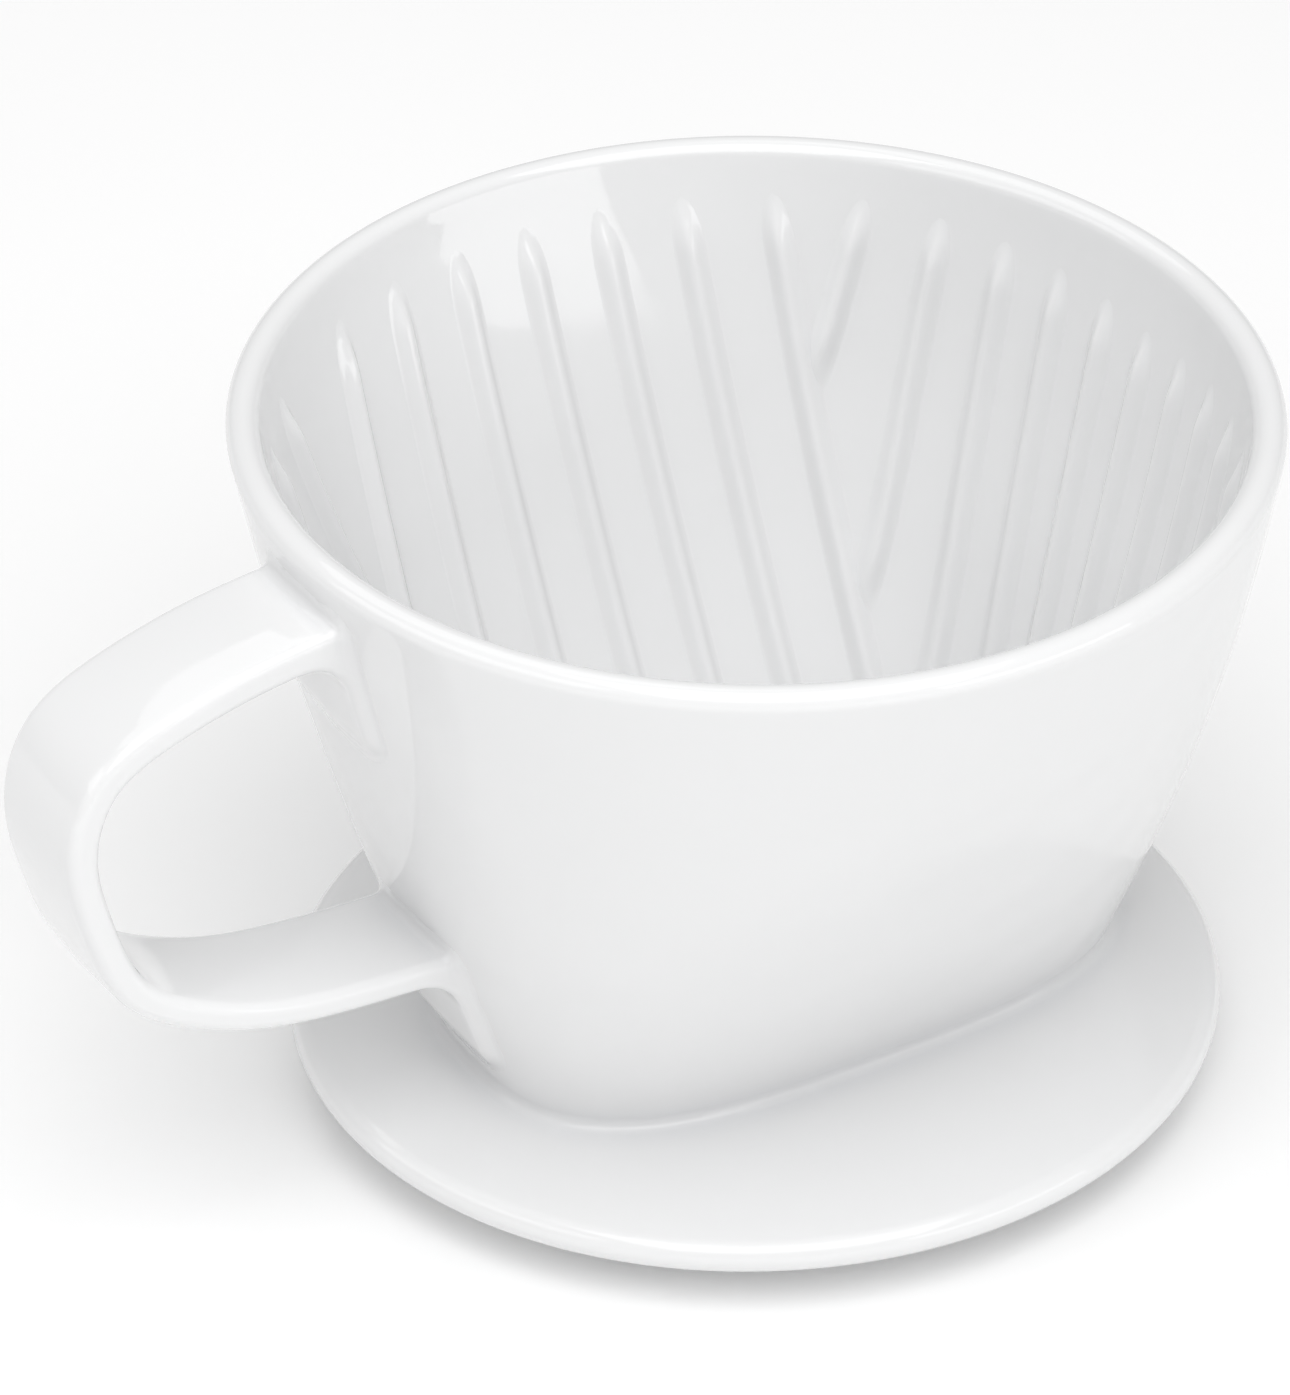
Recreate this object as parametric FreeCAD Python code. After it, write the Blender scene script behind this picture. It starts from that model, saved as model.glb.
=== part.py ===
import FreeCAD, Part
import math
import os

# A glazed porcelain pour-over dripper: a wedge cone on a saucer, with a strap handle.
# Millimetres, Z up. The origin is where the cone's axis meets the resting plane,
# the wedge's long direction is X and the handle points to -X.

# Locating ring under the saucer, which drops inside a mug's rim
ring_height = 5.0
ring_radius = 32.0
ring_wall = 3.6
ring_edge_radius = 0.8

# Saucer, a slightly oval plate
saucer_half_length = 54.6
saucer_half_width = 53.3
saucer_thickness = 4.0
saucer_edge_radius = 1.9
saucer_top = ring_height + saucer_thickness

# Cone wall: a round rim that narrows to a long, squarish foot
overall_height = 87.3
rim_half_length = 59.0
rim_half_width = 59.8
rim_squareness = 2.0
foot_half_length = 40.3
foot_half_width = 22.7
foot_squareness = 3.0
foot_offset = 2.9
wall_bulge = 0.21
wall_at_rim = 3.9
wall_at_foot = 4.5
lip_radius = wall_at_rim / 2
rim_level = overall_height - lip_radius
base_fillet = 1.7
flare_angle = 80
flare_top = saucer_top + base_fillet * math.sin(math.radians(flare_angle))

# Floor of the cone, with drain holes in a row
drain_radius = 2.5
drain_pitch = 20.0
drain_count = 3

# Ribs inside the cone. Each is a round bar sunk to rib_depth in the wall, made too long
# by the overrun and then trimmed at both ends. The side ribs run straight down; the end
# ribs lean a little and gather towards the foot, and their tips are lowest mid-wall.
rib_width = 3.6
rib_height = 1.2
rib_radius = (rib_width**2 / 4 + rib_height**2) / (2 * rib_height)
rib_depth = rib_radius - rib_height
rib_top = 80.3
rib_run_out = 2.6
rib_overrun = 2.0
side_rib_pitch = 9.5
side_rib_count = 7
side_rib_centre = 2.0
end_rib_pitch = 7.5
end_rib_count = 11
end_rib_shift = 1.0
end_rib_lean = 2.0
end_rib_gather = 0.4
end_tip_drop = 3.6
corner_rib_reach = side_rib_pitch * (side_rib_count - 1) / 2

# Handle: a strap bent into a loop, along its centre line as (x, z)
handle_width = 16.6
handle_edge_radius = 1.3
strap_at_top = 4.6
strap_at_bottom = 3.6
handle_path = [
    (-54.0, 79.3),
    (-68.0, 77.8),
    (-78.8, 75.0),
    (-86.8, 70.6),
    (-90.1, 62.0),
    (-88.6, 52.4),
    (-84.0, 41.6),
    (-77.2, 36.6),
    (-68.6, 33.2),
    (-57.0, 31.4),
    (-42.0, 30.6),
]

# Slip joints, the tapered roots that bond the handle's arms to the wall
joint_length = 16.0
joint_reach = 6.0
joint_tip = 1.2

# Lengths under this count as nothing when edges are picked and levels searched for
tolerance = 0.05


def rise(z):
    """How far the wall's outline at a height has grown from the foot's towards the rim's."""
    s = (z - saucer_top) / (rim_level - saucer_top)
    return s + wall_bulge * s * (1 - s)


def blend(at_foot, at_rim, z):
    return at_foot + (at_rim - at_foot) * rise(z)


def wall_outline(z, inset=0.0):
    """Centre, half length, half width and squareness of the wall's outline at a height."""
    centre = blend(foot_offset, 0.0, z)
    half_length = blend(foot_half_length, rim_half_length, z) - inset
    half_width = blend(foot_half_width, rim_half_width, z) - inset
    return centre, half_length, half_width, blend(foot_squareness, rim_squareness, z)


def inner_outline(z):
    return wall_outline(z, inset=blend(wall_at_foot, wall_at_rim, z))


def oval_wire(outline, z, points=32):
    """Closed smooth wire of a superellipse, through points at equal angles."""
    centre, half_length, half_width, squareness = outline
    through = []
    for i in range(points):
        angle = 2 * math.pi * i / points
        along = abs(math.cos(angle) / half_length) ** squareness
        across = abs(math.sin(angle) / half_width) ** squareness
        radius = (along + across) ** (-1 / squareness)
        through.append(FreeCAD.Vector(centre + radius * math.cos(angle), radius * math.sin(angle), z))
    curve = Part.BSplineCurve()
    curve.interpolate(Points=through, PeriodicFlag=True)
    return Part.Wire([curve.toShape()])


def smooth_curve(points):
    curve = Part.BSplineCurve()
    curve.interpolate(points)
    return curve


def levels(low, high, count):
    return [low + (high - low) * i / (count - 1) for i in range(count)]


def wall_wires():
    """The wall's outlines from the top of the base fillet up to the lip."""
    return [oval_wire(wall_outline(z), z) for z in levels(flare_top, rim_level, 6)]


def cavity_wires():
    """The inner wall's outlines from the floor up to the lip."""
    return [oval_wire(inner_outline(z), z) for z in levels(saucer_top, rim_level, 6)]


def flare_wires():
    """Outlines of the small concave fillet round the foot, from the saucer up to the wall."""
    wires = []
    for degrees in levels(flare_angle, 0, 5):
        angle = math.radians(degrees)
        z = flare_top - base_fillet * math.sin(angle)
        wires.append(oval_wire(wall_outline(z, inset=-base_fillet * (1 - math.cos(angle))), z))
    return wires


def lip_wires():
    """Outlines over the rounded lip, from the outer wall's top edge to the inner wall's."""
    wires = []
    for degrees in levels(0, 180, 9):
        angle = math.radians(degrees)
        z = rim_level + lip_radius * math.sin(angle)
        wires.append(oval_wire(wall_outline(rim_level, inset=lip_radius * (1 - math.cos(angle))), z))
    return wires


def outer_cone():
    return Part.makeLoft(wall_wires(), True)


def cavity():
    return Part.makeLoft(cavity_wires(), True)


def cone_wall():
    """The wall as one closed skin: base fillet, outer face, lip, inner face and foot ring."""
    flare = flare_wires()
    inner = cavity_wires()
    skins = [Part.makeLoft(wires, False) for wires in (flare, wall_wires(), lip_wires(), inner)]
    foot = Part.Face(flare[0]).cut(Part.Face(inner[0]))
    shell = Part.makeShell([face for skin in skins + [foot] for face in skin.Faces])
    shell.sewShape()
    return Part.Solid(shell)


def saucer():
    ellipse = Part.Ellipse(FreeCAD.Vector(0, 0, ring_height), saucer_half_length, saucer_half_width)
    plate = Part.Face(Part.Wire([ellipse.toShape()])).extrude(FreeCAD.Vector(0, 0, saucer_thickness))
    rims = [e for e in plate.Edges if e.isClosed()]
    plate = plate.makeFillet(saucer_edge_radius, rims)
    return plate.cut(floor_slab())


def floor_slab():
    foot = oval_wire(inner_outline(saucer_top), ring_height)
    return Part.Face(foot).extrude(FreeCAD.Vector(0, 0, saucer_thickness))


def cone_floor():
    slab = floor_slab()
    for x in spread(foot_offset, drain_pitch, drain_count):
        hole = Part.makeCylinder(drain_radius, saucer_thickness, FreeCAD.Vector(x, 0, ring_height))
        slab = slab.cut(hole)
    return slab


def locating_ring():
    ring = Part.makeCylinder(ring_radius, ring_height)
    ring = ring.cut(Part.makeCylinder(ring_radius - ring_wall, ring_height))
    foot_edges = [e for e in ring.Edges if e.BoundBox.ZMax < tolerance]
    return ring.makeFillet(ring_edge_radius, foot_edges)


def spread(centre, pitch, count):
    """Evenly spaced places about a centre."""
    return [centre + (i - (count - 1) / 2) * pitch for i in range(count)]


def largest_solid(shape):
    return max(shape.Solids, key=lambda solid: solid.Volume)


def buried_outline(z):
    """The inner wall's outline moved out to where the ribs' centre lines lie."""
    return wall_outline(z, inset=blend(wall_at_foot, wall_at_rim, z) - rib_depth)


def side_rib_point(x, side, z):
    centre, half_length, half_width, squareness = buried_outline(z)
    remaining = 1 - abs((x - centre) / half_length) ** squareness
    return FreeCAD.Vector(x, side * half_width * remaining ** (1 / squareness), z)


def end_rib_line(y, end, z):
    """Y of an end rib at a height: it leans a little and draws in as it goes down."""
    drop = (rib_top - z) / (rib_top - saucer_top)
    return y * (1 - end_rib_gather * drop**2) + end * end_rib_lean * drop


def end_rib_point(y_at_top, end, z):
    centre, half_length, half_width, squareness = buried_outline(z)
    y = end_rib_line(y_at_top, end, z)
    remaining = max(1 - abs(y / half_width) ** squareness, 0.0)
    return FreeCAD.Vector(centre + end * half_length * remaining ** (1 / squareness), y, z)


def end_rib_top(y):
    """The level of an end rib's tip, lowest at the middle of the wall."""
    outermost = end_rib_pitch * (end_rib_count - 1) / 2
    return rib_top - end_tip_drop * max(1 - abs(y) / outermost, 0.0)


def end_rib_foot(y, end):
    """The height where an end rib runs into the corner rib, or just under the floor."""
    corner = side_rib_centre + end * corner_rib_reach
    low = saucer_top - rib_overrun
    high = rib_top
    if (end_rib_point(y, end, low).x - corner) * end > 0:
        return low
    while high - low > tolerance:
        middle = (low + high) / 2
        if (end_rib_point(y, end, middle).x - corner) * end > 0:
            high = middle
        else:
            low = middle
    return high


def above_run_out(tip, outward):
    """The space over a sloping plane that trims a rib's top down to the wall at its tip."""
    size = 6 * rib_radius
    block = Part.makeBox(2 * size, 2 * size, size, FreeCAD.Vector(-size, -size, 0))
    normal = FreeCAD.Vector(0, 0, rib_height) - outward * rib_run_out
    block.Placement = FreeCAD.Placement(tip, FreeCAD.Rotation(FreeCAD.Vector(0, 0, 1), normal))
    return block


def rib_solid(point_at, foot_level, top_level, inside):
    """The part of a sunken bar that stands out of the wall, between the floor and its run-out."""
    points = [point_at(z) for z in levels(foot_level, top_level + rib_overrun, 8)]
    spine = smooth_curve(points)
    direction = spine.tangent(spine.FirstParameter)[0]
    section = Part.Wire([Part.Circle(points[0], direction, rib_radius).toShape()])
    bar = Part.Wire([spine.toShape()]).makePipeShell([section], True, False)
    centre_line = point_at(top_level)
    outward = FreeCAD.Vector(centre_line.x, centre_line.y, 0).normalize()
    tip = centre_line - outward * rib_depth
    return largest_solid(bar.common(inside).cut(above_run_out(tip, outward)))


def side_rib(x, side, inside):
    return rib_solid(lambda z: side_rib_point(x, side, z), saucer_top - rib_overrun, rib_top, inside)


def end_rib(y, end, inside):
    foot_level = end_rib_foot(y, end)
    return rib_solid(lambda z: end_rib_point(y, end, z), foot_level, end_rib_top(y), inside)


def side_ribs(side, inside):
    places = spread(side_rib_centre, side_rib_pitch, side_rib_count)
    return Part.makeCompound([side_rib(x, side, inside) for x in places])


def within_corner_rib(end):
    """The space from the middle of the cone to the corner rib's flank, where end ribs stop."""
    flank = side_rib_centre + end * (corner_rib_reach + rib_width / 2)
    start = flank - rim_half_length if end > 0 else flank
    corner = FreeCAD.Vector(start, -rim_half_width, 0)
    return Part.makeBox(rim_half_length, 2 * rim_half_width, overall_height, corner)


def end_ribs(end, inside):
    keep_out = within_corner_rib(end)
    places = spread(end * end_rib_shift, end_rib_pitch, end_rib_count)
    return Part.makeCompound([largest_solid(end_rib(y, end, inside).cut(keep_out)) for y in places])


def strap_face():
    """The strap's side outline in the XZ plane, offset both ways from its centre line."""
    middle = [FreeCAD.Vector(x, 0, z) for x, z in handle_path]
    spine = smooth_curve(middle)
    outer_points = []
    inner_points = []
    for i, point in enumerate(middle):
        tangent = spine.tangent(spine.parameter(point))[0]
        normal = FreeCAD.Vector(tangent.z, 0, -tangent.x)
        share = i / (len(middle) - 1)
        half = (strap_at_top + (strap_at_bottom - strap_at_top) * share) / 2
        outer_points.append(point + normal * half)
        inner_points.append(point - normal * half)
    edges = [
        smooth_curve(outer_points).toShape(),
        Part.makeLine(outer_points[-1], inner_points[-1]),
        smooth_curve(inner_points[::-1]).toShape(),
        Part.makeLine(inner_points[0], outer_points[0]),
    ]
    return Part.Face(Part.Wire(edges))


def across_handle(face, width):
    """The solid a face in the XZ plane sweeps across the handle's width, centred on Y=0."""
    face.translate(FreeCAD.Vector(0, -width / 2, 0))
    return face.extrude(FreeCAD.Vector(0, width, 0))


def strap():
    solid = across_handle(strap_face(), handle_width)
    long_edges = [e for e in solid.Edges if e.Length > 2 * handle_width]
    return solid.makeFillet(handle_edge_radius, long_edges)


def wall_x(z):
    """X of the wall's outer face behind the handle."""
    centre, half_length, _, _ = wall_outline(z)
    return centre - half_length


def joint_blank(arm_level, arm_thickness):
    """The tapered root under one arm of the handle, before the arm and wall are cut away."""
    under_arm = arm_level - arm_thickness / 2
    tip_level = under_arm - joint_length
    middle_level = under_arm - joint_length / 4
    start = FreeCAD.Vector(wall_x(under_arm) - joint_reach, 0, under_arm)
    middle = FreeCAD.Vector(wall_x(middle_level) - 2 * joint_tip, 0, middle_level)
    tip = FreeCAD.Vector(wall_x(tip_level) - joint_tip, 0, tip_level)
    inside_tip = FreeCAD.Vector(wall_x(tip_level) + wall_at_foot / 2, 0, tip_level)
    inside_top = FreeCAD.Vector(wall_x(arm_level) + wall_at_foot / 2, 0, arm_level)
    top = FreeCAD.Vector(start.x, 0, arm_level)
    edges = [
        Part.Arc(start, middle, tip).toShape(),
        Part.makeLine(tip, inside_tip),
        Part.makeLine(inside_tip, inside_top),
        Part.makeLine(inside_top, top),
        Part.makeLine(top, start),
    ]
    return across_handle(Part.Face(Part.Wire(edges)), handle_width - 2 * handle_edge_radius)


def slip_joint(arm_level, arm_thickness, outer, handle_strap):
    joint = joint_blank(arm_level, arm_thickness).cut([outer, handle_strap])
    return largest_solid(joint)


def build():
    outer = outer_cone()
    inside = cavity()
    handle = largest_solid(strap().cut(outer))
    return {
        "cone_wall": cone_wall(),
        "cone_floor": cone_floor(),
        "saucer": saucer(),
        "locating_ring": locating_ring(),
        "front_ribs": side_ribs(-1, inside),
        "back_ribs": side_ribs(1, inside),
        "handle_end_ribs": end_ribs(-1, inside),
        "far_end_ribs": end_ribs(1, inside),
        "handle_strap": handle,
        "upper_slip_joint": slip_joint(handle_path[0][1], strap_at_top, outer, handle),
        "lower_slip_joint": slip_joint(handle_path[-1][1], strap_at_bottom, outer, handle),
    }


os.makedirs("parts", exist_ok=True)
for name, shape in build().items():
    shape.exportStep(f"parts/{name}.step")
    print(name, "valid", shape.isValid(), "solids", len(shape.Solids), "volume", round(shape.Volume, 1))
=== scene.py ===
import math

import bmesh
import bpy
import numpy as np
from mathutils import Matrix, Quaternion, Vector
from mathutils.geometry import tessellate_polygon


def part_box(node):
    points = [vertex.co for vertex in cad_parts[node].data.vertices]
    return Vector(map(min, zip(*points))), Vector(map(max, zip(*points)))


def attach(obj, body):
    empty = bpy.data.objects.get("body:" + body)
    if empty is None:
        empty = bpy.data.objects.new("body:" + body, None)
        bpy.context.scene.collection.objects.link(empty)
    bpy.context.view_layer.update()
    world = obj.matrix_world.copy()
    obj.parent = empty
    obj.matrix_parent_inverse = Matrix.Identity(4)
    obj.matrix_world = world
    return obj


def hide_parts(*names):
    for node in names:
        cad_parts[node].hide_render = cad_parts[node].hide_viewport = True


# The looks of a glazed porcelain pour-over dripper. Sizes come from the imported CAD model's
# boxes, and what a box can't say is a named value below. Lengths are in metres. Angles are in
# radians, apart from those that place the lights and the camera, which are in degrees.
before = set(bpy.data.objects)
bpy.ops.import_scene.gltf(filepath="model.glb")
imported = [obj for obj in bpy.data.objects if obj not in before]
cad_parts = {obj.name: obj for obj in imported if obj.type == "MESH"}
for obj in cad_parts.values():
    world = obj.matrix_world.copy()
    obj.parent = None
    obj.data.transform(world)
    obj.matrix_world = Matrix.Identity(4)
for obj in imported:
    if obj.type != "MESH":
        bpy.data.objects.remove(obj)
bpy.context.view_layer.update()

MM = 0.001

# The cone wall, from its own box and its floor's
wall_low, wall_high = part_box("cone_wall")
floor_low, floor_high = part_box("cone_floor")
overall_height = wall_high.z
saucer_top = wall_low.z
wall_at_rim = 3.9 * MM
wall_at_foot = 4.5 * MM
rim_half_length = (wall_high.x - wall_low.x) / 2
rim_half_width = (wall_high.y - wall_low.y) / 2
rim_squareness = 2.0
foot_half_length = (floor_high.x - floor_low.x) / 2 + wall_at_foot
foot_half_width = (floor_high.y - floor_low.y) / 2 + wall_at_foot
foot_squareness = 3.0
foot_offset = (floor_low.x + floor_high.x) / 2
wall_bulge = 0.21
rim_level = overall_height - wall_at_rim / 2
base_fillet = 1.7 * MM
floor_fillet = 2.5 * MM

# The ribs: soft ridges that rise from the wall and run out in a rounded tip
rib_width = 4.2 * MM
rib_height = 1.2 * MM
rib_top = 82.0 * MM
rib_tip_length = 7.0 * MM
rib_foot_rise = 8.0 * MM
rib_burial = 1.0 * MM
seam_depth = 0.02 * MM
side_rib_pitch = 9.5 * MM
side_rib_count = 7
side_rib_centre = 2.0 * MM
end_rib_pitch = 7.5 * MM
end_rib_count = 11
end_rib_shift = 1.0 * MM
end_rib_lean = 2.0 * MM
end_rib_gather = 0.4
end_tip_drop = 3.6 * MM
corner_rib_reach = side_rib_pitch * (side_rib_count - 1) / 2

# The handle's strap, along its centre line as (x, z) in millimetres, and the slip joints that root it
handle_width = 16.6 * MM
handle_edge_radius = 1.3 * MM
handle_crown = 0.25 * MM
strap_at_top = 4.6 * MM
strap_at_bottom = 3.6 * MM
handle_path = [
    (-54.0, 79.3),
    (-68.0, 77.8),
    (-78.8, 75.0),
    (-86.8, 70.6),
    (-90.1, 62.0),
    (-88.6, 52.4),
    (-84.0, 41.6),
    (-77.2, 36.6),
    (-68.6, 33.2),
    (-57.0, 31.4),
    (-42.0, 30.6),
]
joint_length = 16.0 * MM
joint_proud = 1.2 * MM
joint_arc = 5.0 * MM
joint_tip_length = 5.0 * MM
joint_fillet = 1.6 * MM
joint_skirt = 1.2 * MM
skirt_slope = 0.2
least_sideways = 0.3
handle_burial = 1.5 * MM

# The saucer, its drain holes and the ring under it
saucer_edge_radius = 1.9 * MM
drain_radius = 2.5 * MM
drain_pitch = 20.0 * MM
drain_count = 3
drain_edge_radius = 0.7 * MM
ring_wall = 3.6 * MM
ring_edge_radius = 0.8 * MM
ring_fillet = 0.9 * MM

# How finely the meshes are divided
cone_steps_round = 288
wall_steps_up = 50
lip_steps = 20
rib_steps_up = 96
rib_steps_over = 21
rib_steps_behind = 5
floor_steps_round = 144
hole_steps_round = 48
ring_steps_round = 192
strap_steps_along = 320
strap_steps_across = 15
strap_side_steps = 6
strap_edge_steps = 8
joint_steps_up = 40
hollow_steps = 31
saucer_steps_across = 12
fillet_steps = 12
edge_steps = 10
ring_edge_steps = 7
hole_edge_steps = 6
crease_angle = math.radians(50)

# The small steps over which a surface's slope is taken
slope_turn = 0.001
slope_rise = 0.1 * MM


def levels(low, high, count):
    return [low + (high - low) * i / (count - 1) for i in range(count)]


def spread(centre, pitch, count):
    """Evenly spaced places about a centre."""
    return [centre + (i - (count - 1) / 2) * pitch for i in range(count)]


def turns(count):
    """Evenly spaced angles round a full turn."""
    return [2 * math.pi * i / count for i in range(count)]


def skin(name, shells, closed):
    """One mesh over several shells. A shell is a list of rows, and a row is a closed loop of points.
    A closed shell's last row joins its first, and an open one is capped at both ends."""
    points = []
    faces = []
    for rows in shells:
        start = len(points)
        across = len(rows[0])
        for row in rows:
            points.extend(row)
        for i in range(len(rows) if closed else len(rows) - 1):
            here = start + i * across
            there = start + (i + 1) % len(rows) * across
            for j in range(across):
                k = (j + 1) % across
                faces.append((here + j, here + k, there + k, there + j))
        if not closed:
            last = start + (len(rows) - 1) * across
            faces.append(tuple(start + j for j in reversed(range(across))))
            faces.append(tuple(last + j for j in range(across)))
    return piece(name, points, faces)


def piece(name, points, faces):
    """A smooth-shaded object whose faces look outwards and whose hard edges stay hard."""
    mesh = bpy.data.meshes.new(name)
    mesh.from_pydata(points, [], faces)
    mesh.validate()
    work = bmesh.new()
    work.from_mesh(mesh)
    bmesh.ops.recalc_face_normals(work, faces=work.faces)
    work.to_mesh(mesh)
    work.free()
    mesh.shade_smooth()
    mesh.set_sharp_from_angle(angle=crease_angle)
    thing = bpy.data.objects.new(name, mesh)
    bpy.context.scene.collection.objects.link(thing)
    return thing


# ---- the cone wall's surfaces


def rise(z):
    """How far the wall's outline at a height has grown from the foot's towards the rim's."""
    s = (z - saucer_top) / (rim_level - saucer_top)
    return s + wall_bulge * s * (1 - s)


def blend(at_foot, at_rim, z):
    return at_foot + (at_rim - at_foot) * rise(z)


def wall_outline(z, inset=0.0):
    """Centre, half length, half width and squareness of the wall's outline at a height."""
    centre = blend(foot_offset, 0.0, z)
    half_length = blend(foot_half_length, rim_half_length, z) - inset
    half_width = blend(foot_half_width, rim_half_width, z) - inset
    return centre, half_length, half_width, blend(foot_squareness, rim_squareness, z)


def wall_point(angle, z, inset=0.0):
    centre, half_length, half_width, squareness = wall_outline(z, inset)
    along = abs(math.cos(angle) / half_length) ** squareness
    across = abs(math.sin(angle) / half_width) ** squareness
    radius = (along + across) ** (-1 / squareness)
    return Vector((centre + radius * math.cos(angle), radius * math.sin(angle), z))


def thickness(z):
    return blend(wall_at_foot, wall_at_rim, z)


def inner_point(angle, z):
    return wall_point(angle, z, thickness(z))


def surface_normal(surface, angle, z):
    """The direction square to a wall surface, away from the cone's axis."""
    along = surface(angle + slope_turn, z) - surface(angle - slope_turn, z)
    up = surface(angle, z + slope_rise) - surface(angle, z - slope_rise)
    return along.cross(up).normalized()


def wall_profile(angle):
    """The wall's closed section at an angle: base fillet, outer face, lip, inner face, floor fillet."""
    normal = surface_normal(wall_point, angle, rim_level)
    tilt = -math.asin(normal.z)
    lip = wall_at_rim / 2 * math.cos(tilt)
    outer_top = overall_height - lip - lip * math.sin(tilt)
    inner_top = overall_height - lip + lip * math.sin(tilt)
    points = []
    for turn in levels(math.pi / 2, 0, fillet_steps):
        z = saucer_top + base_fillet * (1 - math.sin(turn))
        points.append(wall_point(angle, z, -base_fillet * (1 - math.cos(turn))))
    for z in levels(saucer_top + base_fillet, outer_top, wall_steps_up)[1:]:
        points.append(wall_point(angle, z))
    start = points[-1]
    end = inner_point(angle, inner_top)
    for turn in levels(0, math.pi, lip_steps)[1:]:
        crown = (start + end) / 2 + (start - end) / 2 * math.cos(turn)
        points.append(crown + lip_rise(start, end) * math.sin(turn))
    for z in levels(inner_top, saucer_top + floor_fillet, wall_steps_up)[1:]:
        points.append(inner_point(angle, z))
    for turn in levels(0, math.pi / 2, edge_steps)[1:]:
        z = saucer_top + floor_fillet * (1 - math.sin(turn))
        points.append(wall_point(angle, z, thickness(z) + floor_fillet * (1 - math.cos(turn))))
    return points


def lip_rise(start, end):
    """From the middle of the lip's chord to its crown: half as long as the chord and square to it."""
    half = (start - end) / 2
    flat = Vector((half.x, half.y, 0))
    return Vector((0, 0, flat.length)) - flat.normalized() * half.z


def cone_body():
    profiles = [wall_profile(angle) for angle in turns(cone_steps_round)]
    return skin("cone_body", [profiles], closed=True)


# ---- the ribs


def side_rib_angle(x, side, z):
    """Where a rib in the plane X = x meets the inner wall, as an angle round the wall's centre."""
    centre, half_length, half_width, squareness = wall_outline(z, thickness(z))
    remaining = 1 - abs((x - centre) / half_length) ** squareness
    return math.atan2(side * half_width * remaining ** (1 / squareness), x - centre)


def end_rib_angle(y_at_top, end, z):
    """The same for a rib on an end wall, which leans a little and draws in as it goes down."""
    _, half_length, half_width, squareness = wall_outline(z, thickness(z))
    drop = (rib_top - z) / (rib_top - saucer_top)
    y = y_at_top * (1 - end_rib_gather * drop**2) + end * end_rib_lean * drop
    remaining = max(1 - abs(y / half_width) ** squareness, 0.0)
    return math.atan2(y, end * half_length * remaining ** (1 / squareness))


def end_rib_foot(y, end):
    """The height where an end rib runs into the corner rib, or the floor."""
    corner = side_rib_centre + end * corner_rib_reach
    low = saucer_top
    high = rib_top
    if (inner_point(end_rib_angle(y, end, low), low).x - corner) * end > 0:
        return low
    while high - low > seam_depth:
        middle = (low + high) / 2
        if (inner_point(end_rib_angle(y, end, middle), middle).x - corner) * end > 0:
            high = middle
        else:
            low = middle
    return high


def end_rib_top(y):
    """The level of an end rib's tip, lowest at the middle of the wall."""
    outermost = end_rib_pitch * (end_rib_count - 1) / 2
    return rib_top - end_tip_drop * max(1 - abs(y) / outermost, 0.0)


def bell(reach):
    """A smooth hump: 1 in the middle, 0 at a reach of 1 and beyond, level at both."""
    return (1 + math.cos(math.pi * min(reach, 1.0))) / 2


def across_rib(angle_at, z, sideways):
    """The angle and level of a place on the inner wall, a distance sideways from a rib's centre line."""
    centre_line = [inner_point(angle_at(level), level) for level in (z - slope_rise, z, z + slope_rise)]
    along = centre_line[2] - centre_line[0]
    side = along.cross(surface_normal(inner_point, angle_at(z), z)).normalized()
    place = centre_line[1] + side * sideways
    return math.atan2(place.y, place.x - wall_outline(place.z)[0]), place.z


def ridge(angle_at, foot, top, rooted):
    """One rib's shell: rows up the wall, each over the ridge and back behind the wall's face.
    A rib that isn't rooted in the floor grows out of the corner rib."""
    rows = []
    for z in levels(foot, top, rib_steps_up):
        growth = 1 if rooted else 1 - bell((z - foot) / rib_foot_rise)
        run_out = max(0.0, 1 - (top - z) / rib_tip_length)
        row = []
        for share in levels(-1, 1, rib_steps_over):
            place = across_rib(angle_at, z, share * rib_width / 2)
            height = (rib_height + seam_depth) * growth * bell(math.hypot(share, run_out)) - seam_depth
            row.append(inner_point(*place) - surface_normal(inner_point, *place) * height)
        for share in levels(1, -1, rib_steps_behind):
            place = across_rib(angle_at, z, share * rib_width / 2)
            row.append(inner_point(*place) + surface_normal(inner_point, *place) * rib_burial)
        rows.append(row)
    return rows


def side_ribs(name, side):
    shells = []
    for x in spread(side_rib_centre, side_rib_pitch, side_rib_count):
        shells.append(ridge(lambda z: side_rib_angle(x, side, z), saucer_top, rib_top, rooted=True))
    return skin(name, shells, closed=False)


def end_ribs(name, end):
    shells = []
    for y in spread(end * end_rib_shift, end_rib_pitch, end_rib_count):
        foot = end_rib_foot(y, end)
        rooted = foot == saucer_top
        shells.append(ridge(lambda z: end_rib_angle(y, end, z), foot, end_rib_top(y), rooted))
    return skin(name, shells, closed=False)


# ---- the handle


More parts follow.
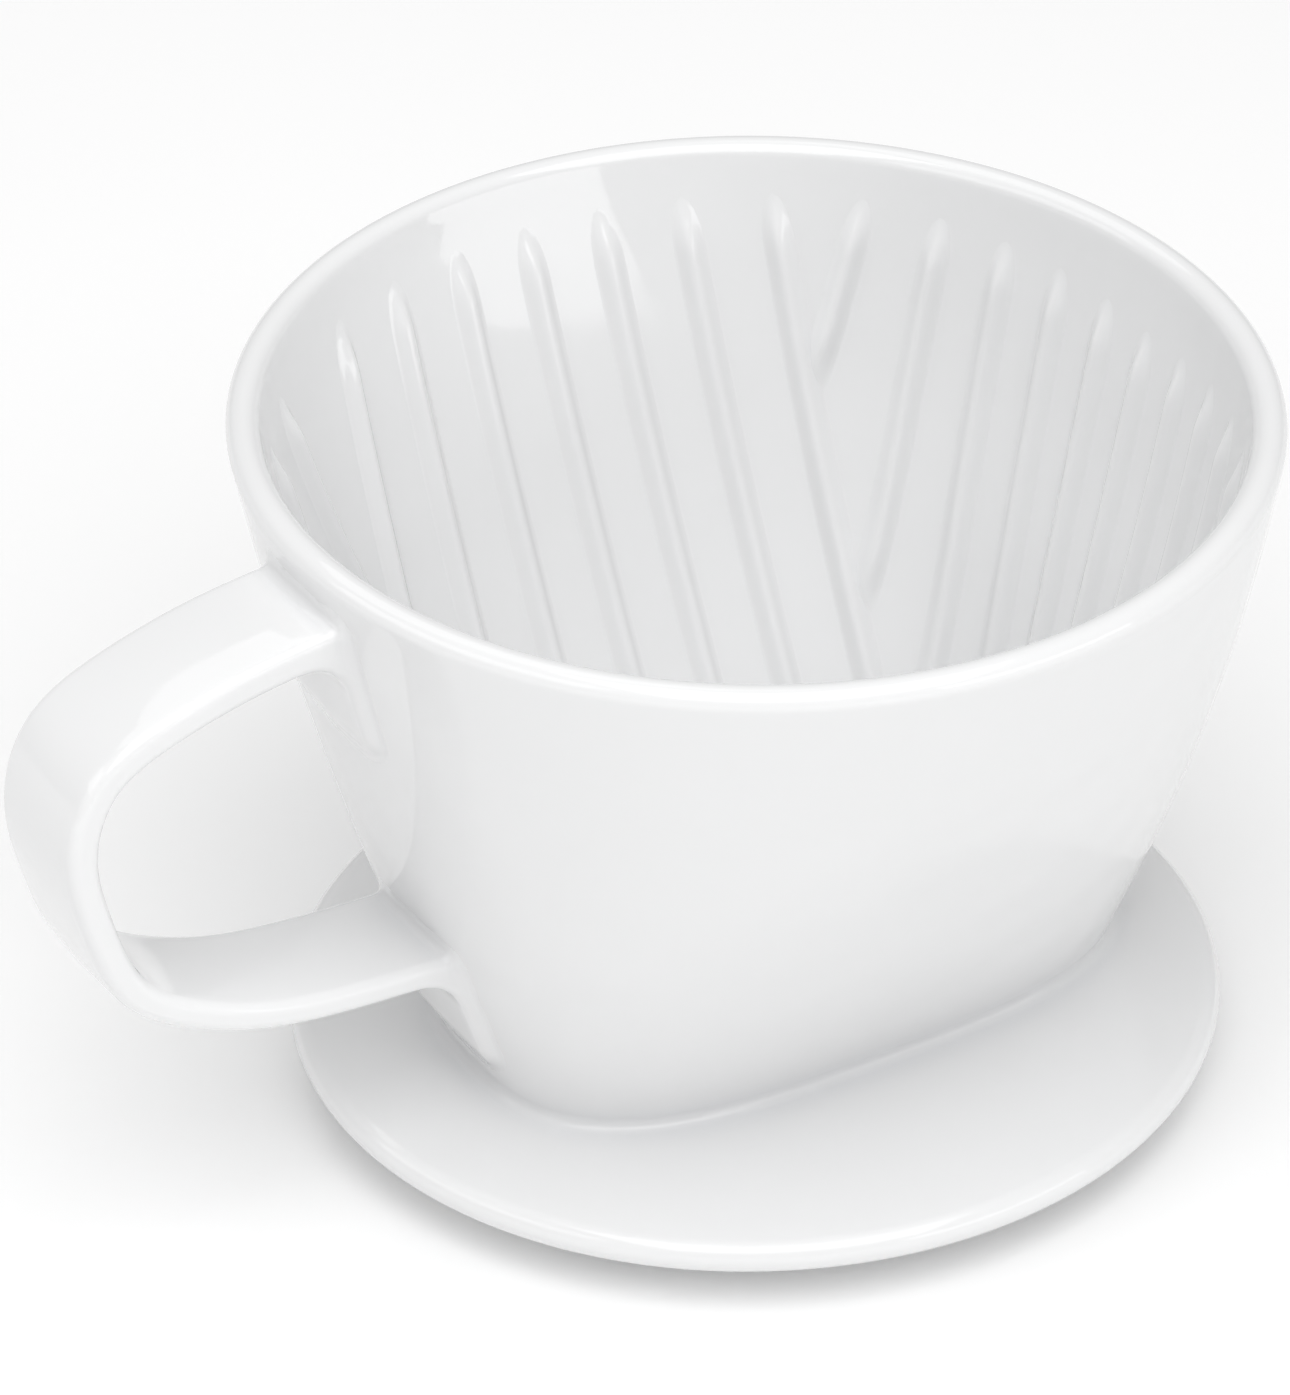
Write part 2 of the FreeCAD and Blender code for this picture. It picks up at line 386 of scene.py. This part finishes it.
def smooth_path(points, count):
    """Points along the natural cubic spline through the given ones, spaced by chord length."""
    points = np.array(points)
    chords = np.linalg.norm(np.diff(points, axis=0), axis=1)
    at = np.concatenate([[0], np.cumsum(chords)])
    system = np.eye(len(points))
    change = np.zeros_like(points)
    for i in range(1, len(points) - 1):
        before, after = chords[i - 1], chords[i]
        system[i, i - 1 : i + 2] = before, 2 * (before + after), after
        change[i] = 6 * ((points[i + 1] - points[i]) / after - (points[i] - points[i - 1]) / before)
    bend = np.linalg.solve(system, change)
    path = []
    for place in np.linspace(0, at[-1], count):
        i = min(np.searchsorted(at, place, side="right") - 1, len(chords) - 1)
        h = chords[i]
        a = (at[i + 1] - place) / h
        b = 1 - a
        curve = (a**3 - a) * bend[i] + (b**3 - b) * bend[i + 1]
        path.append(Vector(a * points[i] + b * points[i + 1] + curve * h**2 / 6))
    return path


def strap_sides():
    """The strap's inner and outer sides as (x, z), in step, from the upper root to the lower."""
    middle = smooth_path([(x * MM, z * MM) for x, z in handle_path], strap_steps_along)
    inner = []
    outer = []
    for i, point in enumerate(middle):
        tangent = middle[min(i + 1, len(middle) - 1)] - middle[max(i - 1, 0)]
        normal = Vector((tangent.y, -tangent.x)).normalized()
        half = (strap_at_top + (strap_at_bottom - strap_at_top) * i / (len(middle) - 1)) / 2
        inner.append(point - normal * half)
        outer.append(point + normal * half)
    return inner, outer


def wall_behind(z, outwards):
    """A point (x, z) that far out from the wall's outer face, behind the handle."""
    centre, half_length, _, _ = wall_outline(z)
    return Vector((centre - half_length - outwards, z))


def outside(point, outwards):
    """Whether a point (x, z) lies further out than that from the wall's outer face."""
    return point.x < wall_behind(point.y, outwards).x


def root(under, over):
    """The slip joint under an arm, as pairs of points on its face and inside the wall. It runs
    from its tip, which is never quite a point, up the wall, round a hollow and onto the arm, whose
    sides start inside the wall."""
    proud = [i for i, p in enumerate(under) if outside(p, joint_proud)]
    corner = under[proud[0]]
    landing = next(i for i in proud if (under[i] - corner).length > joint_arc)
    entry = next(i for i, p in enumerate(over) if outside(p, -handle_burial))
    pairs = []
    for z in levels(corner.y - joint_length, corner.y - joint_arc, joint_steps_up):
        tip = max(0.0, 1 - (z - corner.y + joint_length) / joint_tip_length)
        outwards = joint_proud * (1 - tip**2) - handle_crown * tip**2
        half_width = handle_width / 2 * math.sqrt(max(1 - tip**2, 0.01))
        pairs.append((wall_behind(z, outwards), wall_behind(z, -handle_burial), half_width))
    start, buried, _ = pairs[-1]
    for share in levels(0, 1, hollow_steps)[1:]:
        face = start * (1 - share) ** 2 + corner * 2 * share * (1 - share) + under[landing] * share**2
        if share < 0.5:
            back = buried.lerp(over[entry], 2 * share)
        else:
            back = over[round(entry + (landing - entry) * (2 * share - 1))]
        pairs.append((face, back, handle_width / 2))
    return pairs, landing


def strap_section(inner, outer, half_width):
    """A closed loop round the strap: a rounded rectangle between its inner and outer side, with the
    faces slightly crowned. Its edges are tighter where the section is too small for their radius."""
    length = (outer - inner).length
    radius = min(handle_edge_radius, length * 0.48, half_width * 0.9)
    flat = half_width - radius
    loop = [(share * flat, 0.0) for share in levels(-1, 1, strap_steps_across)]
    for turn in levels(-math.pi / 2, 0, strap_edge_steps)[1:]:
        loop.append((flat + radius * math.cos(turn), radius + radius * math.sin(turn)))
    for depth in levels(radius, length - radius, strap_side_steps)[1:]:
        loop.append((half_width, depth))
    for turn in levels(0, math.pi / 2, strap_edge_steps)[1:]:
        loop.append((flat + radius * math.cos(turn), length - radius + radius * math.sin(turn)))
    mirrored = [(-across, length - depth) for across, depth in loop]
    direction = (outer - inner) / length
    points = []
    for across, depth in loop[:-1] + mirrored[:-1]:
        middle = length / 2
        depth = middle + (depth - middle) * (1 - handle_crown * (across / half_width) ** 2 / max(middle, MM))
        place = inner + direction * depth
        points.append(Vector((place.x, across, place.y)))
    return points


def loop_handle():
    """The strap and its two slip joints as one loop, eased into the wall at both ends."""
    inner, outer = strap_sides()
    upper, upper_landing = root(inner, outer)
    lower, lower_landing = root(outer[::-1], inner[::-1])
    rows = [strap_section(face, back, half_width) for face, back, half_width in upper]
    for i in range(upper_landing + 1, len(inner) - lower_landing - 1):
        rows.append(strap_section(inner[i], outer[i], handle_width / 2))
    for face, back, half_width in reversed(lower):
        rows.append(strap_section(back, face, half_width))
    handle = skin("loop_handle", [rows], closed=False)
    ease_into_wall(handle.data)
    return handle


def ease_into_wall(mesh):
    """Spreads a mesh's sides where they meet the wall's outer face, as a small hollow fillet. The
    part behind the face becomes a skirt, which runs out just under it before it turns down, so that
    the fillet ends level with the wall. Faces that lie along the wall stay where they are."""
    normals = [vertex.normal.copy() for vertex in mesh.vertices]
    for vertex, normal in zip(mesh.vertices, normals):
        foot, outward = wall_foot(vertex.co)
        height = (vertex.co - foot).dot(outward)
        if height > joint_fillet:
            continue
        sideways = normal - outward * normal.dot(outward)
        if sideways.length < least_sideways:
            continue
        share = min(1 - height / joint_fillet, 1.0)
        push = joint_fillet * (1 - math.sqrt(1 - share**2))
        if height < 0:
            push += min(-2 * height, joint_skirt)
            turn_down = -joint_skirt / 2
            height = skirt_slope * max(height, turn_down) + min(height - turn_down, 0.0)
        foot, outward = wall_foot(vertex.co + sideways.normalized() * push)
        vertex.co = foot + outward * (height - seam_depth)
    mesh.update()


def wall_foot(point):
    """The point of the wall's outer face nearest to another point, and the direction out of it."""
    foot = point
    for _ in range(3):
        angle = math.atan2(foot.y, foot.x - wall_outline(foot.z)[0])
        outward = surface_normal(wall_point, angle, foot.z)
        foot = point - outward * (point - wall_point(angle, foot.z)).dot(outward)
    return foot, outward


# ---- the saucer, floor and ring


def saucer_plate():
    low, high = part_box("saucer")
    half_length = (high.x - low.x) / 2
    half_width = (high.y - low.y) / 2
    r = saucer_edge_radius
    profiles = []
    for angle in turns(cone_steps_round):
        hole = inner_point(angle, saucer_top)

        def edge(inset, z):
            along = (half_length - inset) * math.cos(angle)
            return Vector((along, (half_width - inset) * math.sin(angle), z))

        profile = [hole.lerp(edge(r, high.z), share) for share in levels(0, 1, saucer_steps_across)]
        for turn in levels(math.pi / 2, 0, edge_steps)[1:]:
            profile.append(edge(r * (1 - math.cos(turn)), high.z - r * (1 - math.sin(turn))))
        for turn in levels(0, -math.pi / 2, edge_steps):
            profile.append(edge(r * (1 - math.cos(turn)), low.z + r * (1 + math.sin(turn))))
        under = Vector((hole.x, hole.y, low.z))
        profile.extend(edge(r, low.z).lerp(under, share) for share in levels(0, 1, saucer_steps_across)[1:])
        profiles.append(profile)
    return skin("saucer_plate", [profiles], closed=True)


def drilled_floor():
    """The cone's floor: a flat slab with three drain holes, soft at their edges."""
    low, high = floor_low.z, floor_high.z
    outline = [inner_point(angle, saucer_top) for angle in turns(floor_steps_round)]
    r = drain_edge_radius
    quarter = levels(0, math.pi / 2, hole_edge_steps)
    hole_profile = [(r * (1 - math.sin(turn)), high - r * (1 - math.cos(turn))) for turn in quarter]
    hole_profile += [(flare, low + high - z) for flare, z in reversed(hole_profile)]
    rings = [[Vector((p.x, p.y, high)) for p in outline], [Vector((p.x, p.y, low)) for p in outline]]
    joins = [(0, 1)]
    tops = [0]
    bottoms = [1]
    for x in spread(foot_offset, drain_pitch, drain_count):
        tops.append(len(rings))
        for step, (flare, z) in enumerate(hole_profile):
            radius = drain_radius + flare
            circle = [(x + radius * math.cos(a), radius * math.sin(a), z) for a in turns(hole_steps_round)]
            rings.append([Vector(point) for point in circle])
            if step > 0:
                joins.append((len(rings) - 1, len(rings) - 2))
        bottoms.append(len(rings) - 1)
    starts = np.cumsum([0] + [len(ring) for ring in rings]).tolist()
    faces = []
    for a, b in joins:
        count = len(rings[a])
        for j in range(count):
            k = (j + 1) % count
            faces.append((starts[a] + j, starts[b] + j, starts[b] + k, starts[a] + k))
    faces += flat_cap(rings, starts, tops, upwards=True)
    faces += flat_cap(rings, starts, bottoms, upwards=False)
    return piece("drilled_floor", [point for ring in rings for point in ring], faces)


def flat_cap(rings, starts, chosen, upwards):
    """Triangles that fill the flat face between an outline and the holes in it."""
    loops = [rings[i] for i in chosen]
    numbers = [starts[i] + j for i in chosen for j in range(len(rings[i]))]
    points = [point for loop in loops for point in loop]
    faces = []
    for a, b, c in tessellate_polygon(loops):
        faces_up = (points[b] - points[a]).cross(points[c] - points[a]).z > 0
        ordered = (a, b, c) if faces_up == upwards else (c, b, a)
        faces.append(tuple(numbers[i] for i in ordered))
    return faces


def foot_ring():
    low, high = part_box("locating_ring")
    outer = (high.x - low.x) / 2
    inner = outer - ring_wall
    e, f = ring_edge_radius, ring_fillet
    quarter = levels(0, math.pi / 2, ring_edge_steps)
    section = [(outer + f * (1 - math.sin(t)), high.z - f * (1 - math.cos(t))) for t in quarter]
    section += [(outer - e * (1 - math.cos(t)), low.z + e * (1 - math.sin(t))) for t in quarter]
    section += [(inner + e * (1 - math.sin(t)), low.z + e * (1 - math.cos(t))) for t in quarter]
    section += [(inner - f * (1 - math.cos(t)), high.z - f * (1 - math.sin(t))) for t in quarter]
    rows = []
    for angle in turns(ring_steps_round):
        rows.append([Vector((r * math.cos(angle), r * math.sin(angle), z)) for r, z in section])
    return skin("foot_ring", [rows], closed=True)


# ---- materials


def add(tree, kind, **values):
    """A node with the given values set on its inputs, whose names are written with underscores."""
    node = tree.nodes.new(kind)
    for name, value in values.items():
        node.inputs[name.replace("_", " ")].default_value = value
    return node


def join(tree, source, output, target, socket):
    tree.links.new(source.outputs[output], target.inputs[socket])


def new_material(name):
    material = bpy.data.materials.new(name)
    material.use_nodes = True
    tree = material.node_tree
    tree.nodes.clear()
    shader = add(tree, "ShaderNodeBsdfPrincipled")
    join(tree, shader, "BSDF", add(tree, "ShaderNodeOutputMaterial"), "Surface")
    return material, tree, shader


def ramp(tree, source, output, low, high, at_low, at_high):
    """Maps a node's output from low..high to at_low..at_high and holds it outside."""
    node = add(tree, "ShaderNodeMapRange", From_Min=low, From_Max=high, To_Min=at_low, To_Max=at_high)
    join(tree, source, output, node, "Value")
    return node


def noise(tree, scale, detail):
    """Noise in the object's own space, so it runs on across pieces. Scale is per metre."""
    coordinates = add(tree, "ShaderNodeTexCoord")
    texture = add(tree, "ShaderNodeTexNoise", Scale=scale, Detail=detail)
    join(tree, coordinates, "Object", texture, "Vector")
    return texture


def mixed_colour(tree, factor, output, first, second):
    """Blends two colours, each a fixed value or the result of another mix."""
    mix = tree.nodes.new("ShaderNodeMix")
    mix.data_type = "RGBA"
    join(tree, factor, output, mix, "Factor")
    for socket, colour in (("A", first), ("B", second)):
        if isinstance(colour, bpy.types.Node):
            join(tree, colour, "Result", mix, socket)
        else:
            mix.inputs[socket].default_value = colour
    return mix


def bump(tree, height, output, distance, under=None):
    node = add(tree, "ShaderNodeBump", Strength=1.0, Distance=distance)
    join(tree, height, output, node, "Height")
    if under:
        join(tree, under, "Normal", node, "Normal")
    return node


def glaze_colour_and_crease_shade(tree):
    """White porcelain under clear glaze, in two whites that drift at random. It has painted shade: the
    colour is darker and faintly cooler in creases and hollows, where an occlusion test finds them. This is
    partly glaze that runs thick there and partly the shade that falls there.
    """
    drift = noise(tree, scale=22, detail=2)
    white = mixed_colour(tree, drift, "Fac", (0.805, 0.807, 0.81, 1), (0.82, 0.822, 0.825, 1))
    # painted shade: the occlusion mask darkens and cools the glaze colour in creases and hollows, where
    # shade falls
    hollow = add(tree, "ShaderNodeAmbientOcclusion", Distance=5 * MM)
    hollow.samples = 6
    depth = ramp(tree, hollow, "AO", 0.35, 0.85, 1.0, 0.0)
    return mixed_colour(tree, depth, "Result", white, (0.785, 0.791, 0.802, 1))


def glaze_relief(tree):
    """The long soft waves of a poured glaze, with a very fine orange peel over them."""
    waves = bump(tree, noise(tree, scale=55, detail=1), "Fac", 0.30 * MM)
    return bump(tree, noise(tree, scale=900, detail=2), "Fac", 0.004 * MM, under=waves)


def glaze_material():
    material, tree, shader = new_material("white_glaze")
    shader.inputs["IOR"].default_value = 1.52
    shine = ramp(tree, noise(tree, scale=60, detail=3), "Fac", 0.3, 0.7, 0.03, 0.07)
    join(tree, shine, "Result", shader, "Roughness")
    join(tree, glaze_colour_and_crease_shade(tree), "Result", shader, "Base Color")
    join(tree, glaze_relief(tree), "Normal", shader, "Normal")
    return material


def foot_material():
    """Glazed like the rest, but bare and matt where the ring stood in the kiln."""
    material, tree, shader = new_material("ring_porcelain")
    coordinates = add(tree, "ShaderNodeTexCoord")
    place = add(tree, "ShaderNodeSeparateXYZ")
    join(tree, coordinates, "Object", place, "Vector")
    uneven = ramp(tree, noise(tree, scale=180, detail=2), "Fac", 0.3, 0.7, -0.15 * MM, 0.15 * MM)
    height = tree.nodes.new("ShaderNodeMath")
    join(tree, place, "Z", height, 0)
    join(tree, uneven, "Result", height, 1)
    bare = ramp(tree, height, "Value", 0.85 * MM, 1.05 * MM, 1.0, 0.0)
    speckle = noise(tree, scale=1500, detail=3)
    biscuit = mixed_colour(tree, speckle, "Fac", (0.70, 0.67, 0.62, 1), (0.78, 0.75, 0.70, 1))
    colour = mixed_colour(tree, bare, "Result", glaze_colour_and_crease_shade(tree), biscuit)
    join(tree, colour, "Result", shader, "Base Color")
    join(tree, ramp(tree, bare, "Result", 0, 1, 0.08, 0.7), "Result", shader, "Roughness")
    grain = bump(tree, noise(tree, scale=2500, detail=3), "Fac", 0.02 * MM)
    join(tree, grain, "Normal", shader, "Normal")
    return material


def floor_material():
    """White acrylic, faintly lit from below so that the shadows stay soft."""
    material, tree, shader = new_material("studio_floor")
    shader.inputs["Base Color"].default_value = (0.92, 0.92, 0.92, 1)
    shader.inputs["Roughness"].default_value = 0.9
    shader.inputs["Specular IOR Level"].default_value = 0.1
    shader.inputs["Emission Color"].default_value = (1, 1, 1, 1)
    shader.inputs["Emission Strength"].default_value = 0.06
    return material


# ---- the studio

camera_lens = 216.4
camera_azimuth = -30.98
camera_elevation = 34.04
camera_roll = -0.45
camera_distance = 955.8 * MM
aim_height = 50 * MM
aim_across = -12.6 * MM
aim_up = -2.32 * MM
softbox_distance = 1.3
floor_reach = 4.0


def direction(azimuth, elevation):
    """Towards a viewer at that azimuth from -Y, turning to +X, and elevation, in degrees."""
    a, e = math.radians(azimuth), math.radians(elevation)
    return Vector((math.sin(a) * math.cos(e), -math.cos(a) * math.cos(e), math.sin(e)))


def add_camera():
    """The photograph's viewpoint: a long lens from above the handle's side."""
    data = bpy.data.cameras.new("camera")
    data.lens = camera_lens
    data.clip_end = 20
    camera = bpy.data.objects.new("camera", data)
    bpy.context.scene.collection.objects.link(camera)
    back = direction(camera_azimuth, camera_elevation)
    level = back.to_track_quat("Z", "Y")
    aim = Vector((0, 0, aim_height)) + level @ Vector((aim_across, aim_up, 0))
    camera.rotation_mode = "QUATERNION"
    camera.rotation_quaternion = level @ Quaternion((0, 0, 1), math.radians(camera_roll))
    camera.location = aim + back * camera_distance
    bpy.context.scene.camera = camera


def add_softbox(name, azimuth, elevation, width, height, brightness):
    """A soft panel that faces the dripper's rim. Brightness is its radiance, as the room's is."""
    data = bpy.data.lights.new(name, "AREA")
    data.shape = "RECTANGLE"
    data.size = width
    data.size_y = height
    data.energy = brightness * math.pi * width * height
    lamp = bpy.data.objects.new(name, data)
    bpy.context.scene.collection.objects.link(lamp)
    back = direction(azimuth, elevation)
    lamp.location = Vector((0, 0, overall_height)) + back * softbox_distance
    lamp.rotation_mode = "QUATERNION"
    lamp.rotation_quaternion = back.to_track_quat("Z", "Y")


def add_room(brightness):
    world = bpy.data.worlds.new("room")
    world.use_nodes = True
    background = world.node_tree.nodes["Background"]
    background.inputs["Color"].default_value = (1, 1, 1, 1)
    background.inputs["Strength"].default_value = brightness
    bpy.context.scene.world = world


def add_floor():
    far = floor_reach
    corners = [(-far, -far, 0), (far, -far, 0), (far, far, 0), (-far, far, 0)]
    floor = piece("studio_floor", corners, [(0, 1, 2, 3)])
    floor.data.materials.append(floor_material())


def dress(thing, material, slot, *nodes):
    """Gives a piece its material and puts it in place of the CAD nodes it stands for."""
    thing.data.materials.append(material)
    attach(thing, "root")
    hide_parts(*nodes)


def build():
    glaze = glaze_material()
    dress(cone_body(), glaze, "white_glaze", "cone_wall")
    dress(drilled_floor(), glaze, "white_glaze", "cone_floor")
    dress(saucer_plate(), glaze, "white_glaze", "saucer")
    dress(foot_ring(), foot_material(), "ring_porcelain", "locating_ring")
    dress(side_ribs("front_wall_ribs", -1), glaze, "white_glaze", "front_ribs")
    dress(side_ribs("back_wall_ribs", 1), glaze, "white_glaze", "back_ribs")
    dress(end_ribs("handle_end_wall_ribs", -1), glaze, "white_glaze", "handle_end_ribs")
    dress(end_ribs("far_end_wall_ribs", 1), glaze, "white_glaze", "far_end_ribs")
    handle_nodes = ("handle_strap", "upper_slip_joint", "lower_slip_joint")
    dress(loop_handle(), glaze, "white_glaze", *handle_nodes)


def light():
    add_room(0.4)
    add_softbox("softbox_right", azimuth=25, elevation=11, width=1.05, height=0.34, brightness=2.1)
    add_softbox("softbox_left", azimuth=-98, elevation=30, width=1.4, height=0.5, brightness=1.2)
    add_softbox("softbox_back", azimuth=190, elevation=60, width=0.9, height=0.7, brightness=1.0)
    add_softbox("softbox_high", azimuth=-20, elevation=62, width=1.4, height=1.4, brightness=2.25)
    bpy.context.scene.view_settings.view_transform = "Standard"


build()
add_floor()
light()
add_camera()
